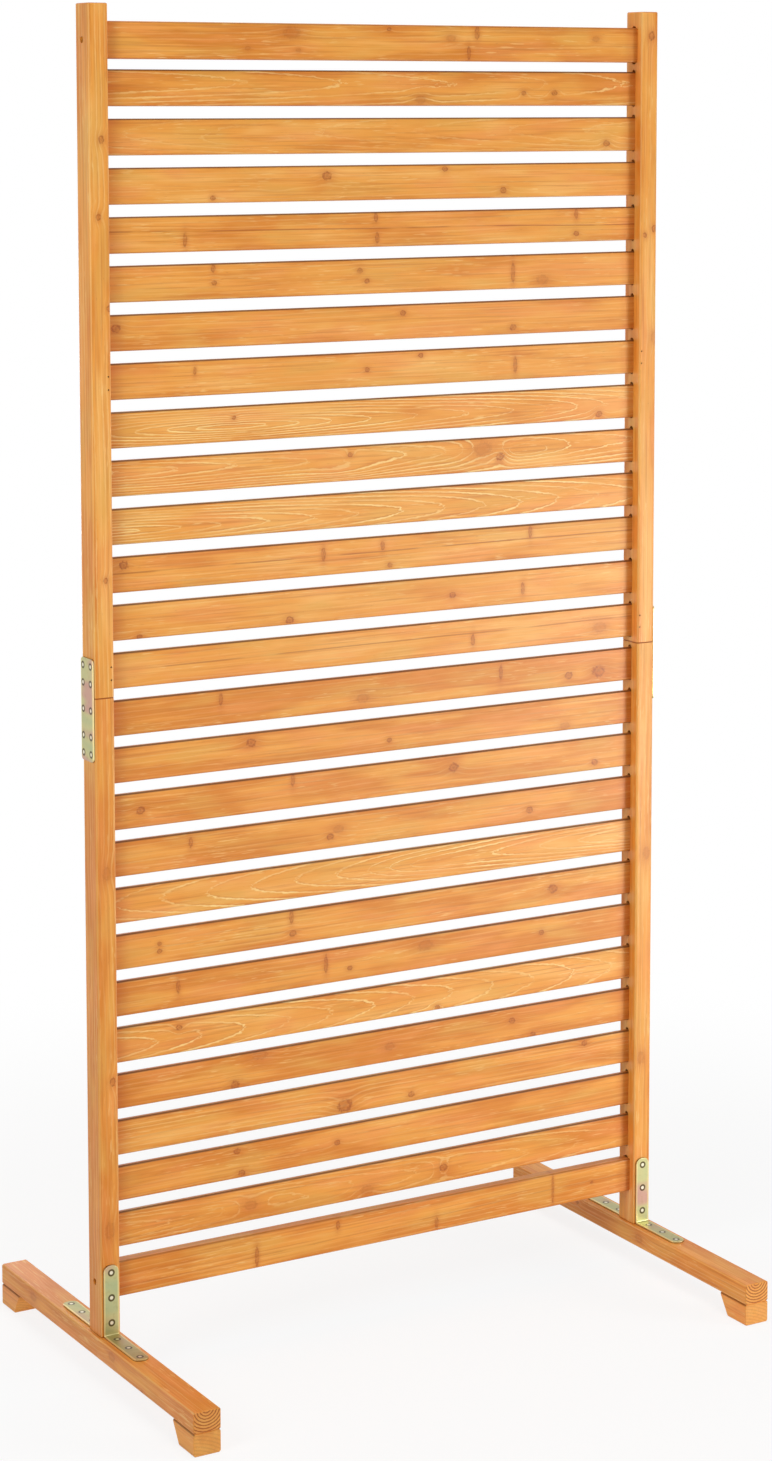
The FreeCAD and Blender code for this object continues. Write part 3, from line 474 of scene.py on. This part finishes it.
BOARDS = {
    "top_rail": board("plain", 0.7, [
        faint_knot(-140, 12, 8), faint_knot(-205, -9, 2.5), faint_knot(-130, -11, 2.5),
        faint_knot(105, 7, 4.5), streak_knot(133, -13, 9), streak_knot(146, 14, 8, 4),
        round_knot(8, 18, 2.5), faint_knot(340, 8, 3.5)]),
    "upper_slat_01": board("long_arrows", 0.6, [
        round_knot(225, -6, 3), round_knot(275, -6, 3.5), faint_knot(60, -15, 5)],
        apex=(-56, 7)),
    "upper_slat_02": board("faint_arrows", 0.4, [
        round_knot(362, -13, 4), pale_eye(-200, -6, 90, 10)], apex=(170, 6)),
    "upper_slat_03": board("plain", 0.4, [
        round_knot(-85, 10, 5.5), round_knot(-255, -17, 3), round_knot(98, 17, 3.5),
        round_knot(192, -13, 4), pale_eye(-160, -11, 40, 10), pale_eye(300, -8, 90, 12)]),
    "upper_slat_04": board("plain", 0.6, [
        streak_knot(-296, -8, 8), streak_knot(-10, 16, 6), streak_knot(-8, -12, 7),
        streak_knot(312, 15, 7), round_knot(312, -12, 3.5)], seam=(2, 1.0, -0.006)),
    "upper_slat_05": board("plain", 0.4, [
        streak_knot(-255, 17, 5), round_knot(-254, -2, 3), round_knot(-35, 8, 3.5),
        round_knot(-24, -6, 3), streak_knot(208, -1, 13), faint_knot(256, -12, 6),
        pale_eye(-225, -3, 50, 10)]),
    "upper_slat_06": board("plain", 0.5, [
        round_knot(-396, 6, 5), round_knot(32, 12, 3.5), round_knot(208, -14, 4)]),
    "upper_slat_07": board("plain", 0.5, [
        streak_knot(-283, 9, 5, 2), round_knot(-24, 0, 3), round_knot(60, 16, 3),
        streak_knot(212, -3, 10), pale_eye(264, -2, 60, 12)]),
    "upper_slat_08": board("arrows", 0.4, [
        round_knot(-226, 8, 2.5), round_knot(352, -16, 4), pale_eye(-225, -5, 170, 14),
        pale_eye(178, -3, 300, 20)], apex=(394, -3)),
    "upper_slat_09": board("flames", 0.35, [
        round_knot(-50, 12, 3), round_knot(188, -4, 5), faint_knot(160, 8, 9),
        pale_eye(227, 2, 60, 9), pale_eye(-60, -10, 80, 12)], apex=(154, 8)),
    "upper_slat_10": board("arrows", 0.3, apex=(229, -6)),
    "upper_slat_11": board("plain", 0.45, [
        round_knot(-388, 12, 5), streak_knot(-92, 6, 9), streak_knot(0, 10, 6),
        round_knot(11, -17, 3), streak_knot(238, 13, 8)], seam=(3, 1.0, 0.004)),
    "upper_slat_12": board("plain", 0.45, [
        round_knot(-144, -17, 4.5), round_knot(-366, -21, 3.5), round_knot(111, -3, 4),
        streak_knot(226, -3, 8), pale_eye(285, -8, 60, 10)]),
    "upper_slat_13": board("plain", 0.35, [
        streak_knot(144, -6, 8), faint_knot(356, -6, 7)], seam=(3, 0.9, 0.008)),
    "lower_slat_01": board("plain", 0.90, [
        streak_knot(-248, 11, 8), faint_knot(-32, -8, 6), streak_knot(190, 7, 10),
        round_knot(303, -8, 5), round_knot(354, -6, 8, 0.4)]),
    "lower_slat_02": board("plain", 0.70, [
        round_knot(-203, 10, 5.5), round_knot(10, -8, 3), faint_knot(297, -17, 5)]),
    "lower_slat_03": board("plain", 0.75, [
        streak_knot(-140, 15, 8), round_knot(-367, -1, 5), round_knot(113, 5, 6),
        round_knot(348, -12, 4)]),
    "lower_slat_04": board("plain", 0.75, [
        streak_knot(-294, 10, 6), round_knot(-83, -7, 4), faint_knot(-70, 2, 5),
        round_knot(238, -7, 4.5)]),
    "lower_slat_05": board("arrows_back", 0.3, [pale_eye(66, 0, 90, 14)], apex=(-82, 2)),
    "lower_slat_06": board("plain", 0.60, [
        round_knot(-341, 4, 2.5), round_knot(-341, -6, 3), round_knot(-141, -9, 4),
        streak_knot(-143, 14, 9), round_knot(278, 0, 6), pale_eye(160, 0, 60, 9)]),
    "lower_slat_07": board("plain", 0.85, [
        streak_knot(-314, 4, 9), streak_knot(-90, 4, 12), round_knot(-53, -7, 3),
        faint_knot(68, 9, 7), round_knot(259, 1, 3.5)]),
    "lower_slat_08": board("arrows", 0.4, [
        round_knot(-313, 11, 3.5), round_knot(87, -20, 3)], apex=(-272, -3)),
    "lower_slat_09": board("plain", 0.93, [
        round_knot(-230, -18, 5), faint_knot(-192, 18, 7), faint_knot(10, -2, 5),
        round_knot(210, 5, 4), round_knot(245, -20, 3.5)]),
    "lower_slat_10": board("straight", 0.66, [
        round_knot(-61, -12, 8.5, 0.3), round_knot(45, -13, 4), round_knot(333, 16, 4),
        pale_eye(346, -9, 70, 15)]),
    "lower_slat_11": board("plain", 0.75, [
        round_knot(-228, 14, 4), round_knot(-221, -17, 4), round_knot(-73, 0, 3.5)]),
    "lower_slat_12": board("faint_flames", 0.65, [
        faint_knot(-26, -13, 6), round_knot(97, -2, 5, 0.4), faint_knot(-208, -2, 6)],
        apex=(-208, -2)),
    "bottom_rail": board("plain", 0.72, [
        streak_knot(-201, -8, 14), streak_knot(-75, 13, 6), streak_knot(277, 2, 20, 2),
        streak_knot(83, -12, 8), round_knot(344, 0, 2)], seam=(-4, 0.5, 0.02)),
    "left_upper_post": board("straight", 0.4, [
        round_knot(273, 3, 4), round_knot(175, -2, 3.5), round_knot(58, 12, 3.5),
        round_knot(-292, 3, 3)]),
    "right_upper_post": board("plain", 0.35, [
        round_knot(412, 3, 5), round_knot(134, -6, 3), round_knot(143, 9, 4),
        faint_knot(-10, 11, 6)]),
    "left_lower_post": board("straight", 0.68, [
        faint_knot(195, 0, 6), round_knot(-83, 6, 4.5), faint_knot(-283, 0, 7),
        round_knot(-347, -6, 2.5)]),
    "right_lower_post": board("plain", 0.4, [faint_knot(120, 4, 6), faint_knot(-180, -3, 6)]),
    "left_foot_bar": board("boxed", 0.88, [
        faint_knot(-60, 4, 6), round_knot(-150, -12, 2.5), faint_knot(190, 2, 6)]),
    "right_foot_bar": board("boxed", 0.6, [faint_knot(-40, 0, 6), round_knot(120, 6, 3)]),
    "left_front_pad": board("offcut", 0.5),
    "left_rear_pad": board("offcut", 0.45),
    "right_front_pad": board("offcut", 0.4),
    "right_rear_pad": board("offcut", 0.5),
}

# The finish of a board's edges: its colour; how strong it is on the upper side, along the lower
# edge and on the corners; and how dark the butt-jointed ends are. A dark colour on the upper side
# and lower edge is painted shade, and a pale one on the corners is wear.
SHADED_EDGES = (EDGE_SHADE_AND_TARNISH, (0.85, 0.35, 0.0), 0.0)
RAILED = (EDGE_SHADE_AND_TARNISH, (0.5, 0.35, 0.0), 0.0)
WORN = (PALE_LINE, (0.0, 0.0, 0.3), 0.0)
BUTTED = (PALE_LINE, (0.0, 0.0, 0.3), 0.75)
SEAMED = (EDGE_SHADE_AND_TARNISH, (0.7, 0.2, 0.0), 0.0)

# Slats and rails get painted shade where they run into the posts. Nothing else has such a wall.
POST_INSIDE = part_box("right_upper_post")[0].x * MM
NO_WALL = 9999.0


def edge_finish(name):
    if "post" in name:
        return BUTTED
    if "bar" in name:
        return WORN
    if "rail" in name:
        return RAILED
    return SEAMED if "pad" in name else SHADED_EDGES


def grain_axes(name):
    """Which axes run along the grain, across the board's face, and out of it."""
    if "slat" in name or "rail" in name:
        return X, Z, Y
    if "post" in name:
        return Z, X, Y
    return Y, Z, X


def board_place(graph, centre, axes):
    """Places on a board in its own axes. Those with a front face forwards, the others right."""
    facing = 1.0 if axes[2] == X else -1.0
    scale = (MM, MM, MM * facing)
    position = graph.split(graph.position())
    turned = graph.combine(*(position[axis] for axis in axes))
    shift = tuple(-centre[axis] * factor for axis, factor in zip(axes, scale))
    return graph.node("VectorMath", {0: turned, 1: scale, 2: shift},
                      operation="MULTIPLY_ADD").outputs["Vector"]


def knots_together(graph, place, knots):
    """How far a board's knots push its rings aside, and how strong their marks are."""
    push, marks = 0.0, (0.0, 0.0, 0.0)
    for knot in knots:
        made = graph.node("Group", {
            "Place": place, "Centre": (*knot["centre"], 0.0), "Size": (*knot["size"], KNOT_DEPTH),
            "Push": knot["push"], "Marks": knot["marks"],
        }, node_tree=KNOT).outputs
        push = graph.add(push, made["Push"])
        marks = graph.vector("MAXIMUM", marks, made["Marks"])
    return push, marks


def board_material(number, name):
    """The wood of one board, with its own cut, tone and knots."""
    wood = BOARDS[name]
    low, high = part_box(name)
    axes = grain_axes(name)
    along_axis = axes[0]
    material, graph, shader = new_material("softwood_" + name)
    place = board_place(graph, (low + high) / 2, axes)
    grain = tuple(1.0 if axis == along_axis else 0.0 for axis in (X, Y, Z))
    facing = graph.absolute(graph.vector("DOT_PRODUCT", graph.normal(), grain))
    push, marks = knots_together(graph, place, wood["knots"])
    half = tuple((high[axis] - low[axis]) / 2 * MM for axis in axes)
    edge, edges, ends = edge_finish(name)
    wall = POST_INSIDE if along_axis == X else NO_WALL
    surface = graph.node("Group", {
        "Place": place, "Half": half, "Facing": facing, "Seed": float(number),
        "Pith": wood["pith"], "Spacing": wood["spacing"], "Lines": wood["lines"],
        "Waver": wood["waver"], "Tone": wood["tone"], "Seam": wood["seam"],
        "Push": push, "Marks": marks, "Edge": edge, "Edges": edges, "Ends": ends, "Wall": wall,
    }, node_tree=SOFTWOOD).outputs
    coat(graph, shader, surface["Color"], surface["Roughness"], surface["Height"], WOOD_RELIEF)
    shader.inputs["Specular IOR Level"].default_value = WOOD_SHINE
    return material


# ---- metal

ZINC_GREEN = srgb(176, 182, 136)
ZINC_YELLOW = srgb(194, 187, 134)
ZINC_PINK = srgb(196, 154, 136)
ZINC_DEEP = srgb(150, 134, 84)
# painted highlight along the sides of plates and brackets
ZINC_EDGE_HIGHLIGHT = srgb(246, 224, 156)
SCREW_PALE = srgb(242, 234, 212)
SEAT_SHADOW = srgb(66, 46, 22)
STEEL = srgb(64, 46, 34)
ZINC_ROUGHNESS = 0.2
STEEL_ROUGHNESS = 0.35
ZINC_RELIEF = (0.12, 0.0004)
STEEL_RELIEF = (0.1, 0.0002)

# Where the screws sit, in millimetres: from a bracket leg's end and along it, and on a mending
# plate in rows above and below its middle and columns to each side of it.
BRACKET_FIRST_SCREW = 10.0
BRACKET_SCREW_SPACING = 34.0
PLATE_ROWS = (0.0, 34.7, 57.5)
PLATE_COLUMN = 11.25
HEAD_RADIUS = 3.9
SEAT_GAP = 0.9


def bracket_measures(graph, place, name):
    """Distances on a corner bracket: from the nearest screw, the sides and the seat."""
    low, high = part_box(name)
    corner = min(abs(low.y), abs(high.y)) * MM
    last = (high.z - low.z) * MM - BRACKET_FIRST_SCREW
    x, y, z = graph.split(place)
    up = graph.subtract(z, low.z * MM)
    forth = graph.subtract(graph.absolute(y), corner)
    leg = graph.most(up, forth)
    reach = BRACKET_SCREW_SPACING / 2
    along = graph.math("WRAP", graph.subtract(leg, last), reach, -reach)
    aside = graph.subtract(x, (low.x + high.x) / 2 * MM)
    from_screw = graph.vector("LENGTH", graph.combine(along, aside))
    from_side = graph.subtract((high.x - low.x) / 2 * MM, graph.absolute(aside))
    return from_screw, from_side, graph.least(up, forth)


def plate_measures(graph, place, name):
    """Distances on a mending plate: from the nearest screw, the sides and the seat."""
    low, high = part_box(name)
    x, y, z = graph.split(place)
    level = graph.absolute(graph.subtract(z, (low.z + high.z) / 2 * MM))
    rows = [graph.absolute(graph.subtract(level, row)) for row in PLATE_ROWS]
    along = graph.least(rows[0], graph.least(rows[1], rows[2]))
    aside = graph.subtract(graph.absolute(y), PLATE_COLUMN)
    from_screw = graph.vector("LENGTH", graph.combine(along, aside))
    from_side = graph.subtract((high.y - low.y) / 2 * MM, graph.absolute(y))
    seat = min(abs(low.x), abs(high.x)) * MM
    return from_screw, from_side, graph.subtract(graph.absolute(x), seat)


def screw_marks(graph, color, from_screw, from_side, above_seat):
    """Painted highlights along the sides, pale screw heads, and painted shadow round the heads and
    down at the seat.
    """
    # painted highlight: lighter within a couple of millimetres of the metal's sides
    rim = graph.fall(from_side, 1.2, 2.4)
    head = graph.fall(from_screw, HEAD_RADIUS - 1.4, HEAD_RADIUS - 0.9)
    off_rim = graph.absolute(graph.subtract(from_screw, HEAD_RADIUS - 0.2))
    ring = graph.fall(off_rim, 0.9, 1.7)
    seat = graph.fall(above_seat, SEAT_GAP * 0.6, SEAT_GAP)
    color = graph.tint(color, ZINC_EDGE_HIGHLIGHT, rim, 0.5)
    color = graph.tint(color, SCREW_PALE, head, 0.7)
    return graph.tint(color, SEAT_SHADOW, graph.most(ring, seat), 0.85)


def zinc_material(name, measures=None, carrier=None):
    """Yellow-passivated zinc whose tint drifts from green over yellow to pink."""
    material, graph, shader = new_material("zinc_" + name)
    place = graph.vector("MULTIPLY", graph.position(), (MM, MM, MM))
    drift = graph.noise(place, "zinc_drift")
    stains = graph.noise(place, "zinc_stains")
    fine = graph.noise(place, "zinc_grain")
    upward = graph.split(graph.normal())["Z"]
    color = graph.mix(graph.step(drift, 0.3, 0.52), ZINC_GREEN, ZINC_YELLOW)
    color = graph.mix(graph.step(drift, 0.48, 0.66), color, ZINC_PINK)
    # painted shade: faces that point upwards are darker
    color = graph.mix(graph.step(upward, 0.5, 0.9, 0.0, 0.5), color, ZINC_DEEP)
    color = graph.mix(graph.step(stains, 0.55, 0.78, 0.0, 0.3), color, ZINC_DEEP)
    if measures is not None:
        color = screw_marks(graph, color, *measures(graph, place, carrier))
    rough = graph.add(graph.multiply(stains, 0.2), ZINC_ROUGHNESS)
    rough = graph.add(graph.multiply(fine, 0.12), rough)
    height = graph.add(stains, graph.multiply(fine, 0.4))
    coat(graph, shader, color, rough, height, ZINC_RELIEF)
    shader.inputs["Metallic"].default_value = 1.0
    return material


def steel_material(name):
    """Dark steel of the brads, with specks of tarnish."""
    material, graph, shader = new_material("steel_" + name)
    place = graph.vector("MULTIPLY", graph.position(), (MM, MM, MM))
    specks = graph.noise(place, "steel_specks")
    color = graph.mix(graph.step(specks, 0.45, 0.65), STEEL, EDGE_SHADE_AND_TARNISH)
    rough = graph.add(graph.multiply(specks, 0.3), STEEL_ROUGHNESS)
    coat(graph, shader, color, rough, specks, STEEL_RELIEF)
    shader.inputs["Metallic"].default_value = 1.0
    return material


def hardware_material(name):
    """The metal of a plate, a bracket or a set of fasteners. Screws match what they hold."""
    if "brads" in name:
        return steel_material(name)
    if "bracket" in name:
        return zinc_material(name, bracket_measures, name.removesuffix("_screws"))
    if "plate" in name:
        side = name.split("_")[0]
        return zinc_material(name, plate_measures, side + "_mending_plate")
    return zinc_material(name)


def dress(name, material):
    """Gives a carried-over piece its finish."""
    slots = nodes[name].data.materials
    slots.clear()
    slots.append(material)


for number, name in enumerate(sorted(BOARDS)):
    dress(name, board_material(number, name))
for name in nodes:
    if name not in BOARDS:
        dress(name, hardware_material(name))


# ---- floor and light

FLOOR_HALF = 30.0
FLOOR_PAINT = (0.92, 0.92, 0.92, 1.0)
SHADOW_SHARE = 0.17
SHADOW_REACH = (0.7, 1.8)
WORLD_LIGHT = 0.22

# Each lamp's place, the point that it faces, its width and height, and its power in watts.
LAMPS = {
    "key": ((2.1, -1.9, 0.5), (0.0, 0.0, 0.8), (0.6, 0.9), 29.0),
    "sheen": ((1.7, -2.0, 0.35), (0.3, 0.0, 0.4), (0.5, 0.5), 9.0),
    "fill": ((-1.9, -0.62, 1.4), (-0.3, 0.0, 1.2), (0.6, 1.2), 14.0),
    "front": ((-0.8, -2.6, 3.0), (0.0, 0.0, 1.2), (1.4, 0.8), 14.0),
    "top": ((0.0, 0.0, 4.2), (0.0, 0.0, 0.0), (1.6, 1.6), 58.0),
    "rear": ((0.2, 3.4, 0.8), (0.0, 0.0, 0.9), (1.0, 1.0), 30.0),
}


def shown_directly(graph):
    """One for rays on which the background itself is seen, nought for its light."""
    path = graph.node("LightPath").outputs
    seen = graph.most(path["Is Camera Ray"], path["Is Glossy Ray"])
    return graph.most(seen, path["Is Transmission Ray"])


def floor_material():
    """Pale paint that is seen as plain white, apart from a soft shadow near the screen."""
    material = bpy.data.materials.new("floor_paint")
    graph = fresh_graph(material)
    paint = graph.node("BsdfDiffuse", {"Color": FLOOR_PAINT}).outputs[0]
    glow = graph.node("Emission", {"Color": WHITE, "Strength": 1.0}).outputs[0]
    distance = graph.vector("LENGTH", graph.position())
    white = graph.step(distance, *SHADOW_REACH, 1 - SHADOW_SHARE, 1.0)
    share = graph.multiply(shown_directly(graph), white)
    both = graph.node("MixShader", {0: share, 1: paint, 2: glow}).outputs[0]
    graph.node("OutputMaterial", {"Surface": both})
    return material


def make_floor():
    """A wide square floor under the screen."""
    mesh = bpy.data.meshes.new("floor")
    corners = [(-FLOOR_HALF, -FLOOR_HALF, 0), (FLOOR_HALF, -FLOOR_HALF, 0),
               (FLOOR_HALF, FLOOR_HALF, 0), (-FLOOR_HALF, FLOOR_HALF, 0)]
    mesh.from_pydata(corners, [], [(0, 1, 2, 3)])
    mesh.materials.append(floor_material())
    floor = bpy.data.objects.new("floor", mesh)
    bpy.context.scene.collection.objects.link(floor)


def make_world():
    """Even white surroundings, seen at full white and lighting at a plain level."""
    world = bpy.data.worlds.new("studio")
    bpy.context.scene.world = world
    graph = fresh_graph(world)
    strength = graph.add(graph.multiply(shown_directly(graph), 1 - WORLD_LIGHT), WORLD_LIGHT)
    backdrop = graph.node("Background", {"Color": WHITE, "Strength": strength})
    graph.node("OutputWorld", {"Surface": backdrop.outputs[0]})


def soft_box(name, place, target, size, power):
    """A rectangular lamp of a width and height, turned towards a target."""
    light = bpy.data.lights.new(name, "AREA")
    light.shape = "RECTANGLE"
    light.size, light.size_y = size
    light.energy = power
    lamp = bpy.data.objects.new(name, light)
    bpy.context.scene.collection.objects.link(lamp)
    lamp.location = place
    lamp.rotation_euler = (Vector(target) - Vector(place)).to_track_quat("-Z", "Y").to_euler()


make_floor()
make_world()
for name, lamp in LAMPS.items():
    soft_box(name, *lamp)


# ---- camera
# Placed so that the posts, slats and feet meet their places in the photograph. The focal length
# and the row of the optical centre are in the photograph's pixels, and the angles in radians.

PHOTO_HEIGHT = 1461
FOCAL_LENGTH = 3183.3
CENTRE_ROW = 431.26
SENSOR = 36.0
CAMERA_PLACE = (-2.1507, -3.7022, 1.6702)
CAMERA_YAW, CAMERA_PITCH, CAMERA_ROLL = -0.52782, -0.10194, -0.00099
CLIP_NEAR, CLIP_FAR = 0.05, 200.0


def make_camera():
    data = bpy.data.cameras.new("camera")
    data.sensor_fit = "AUTO"
    data.sensor_width = SENSOR
    data.lens = FOCAL_LENGTH / PHOTO_HEIGHT * SENSOR
    data.shift_y = (CENTRE_ROW - PHOTO_HEIGHT / 2) / PHOTO_HEIGHT
    data.clip_start, data.clip_end = CLIP_NEAR, CLIP_FAR
    camera = bpy.data.objects.new("camera", data)
    bpy.context.scene.collection.objects.link(camera)
    turn = (Matrix.Rotation(CAMERA_YAW, 4, "Z")
            @ Matrix.Rotation(math.pi / 2 + CAMERA_PITCH, 4, "X")
            @ Matrix.Rotation(CAMERA_ROLL, 4, "Z"))
    camera.matrix_world = Matrix.Translation(CAMERA_PLACE) @ turn
    bpy.context.scene.camera = camera


make_camera()
bpy.context.scene.view_settings.view_transform = "Standard"
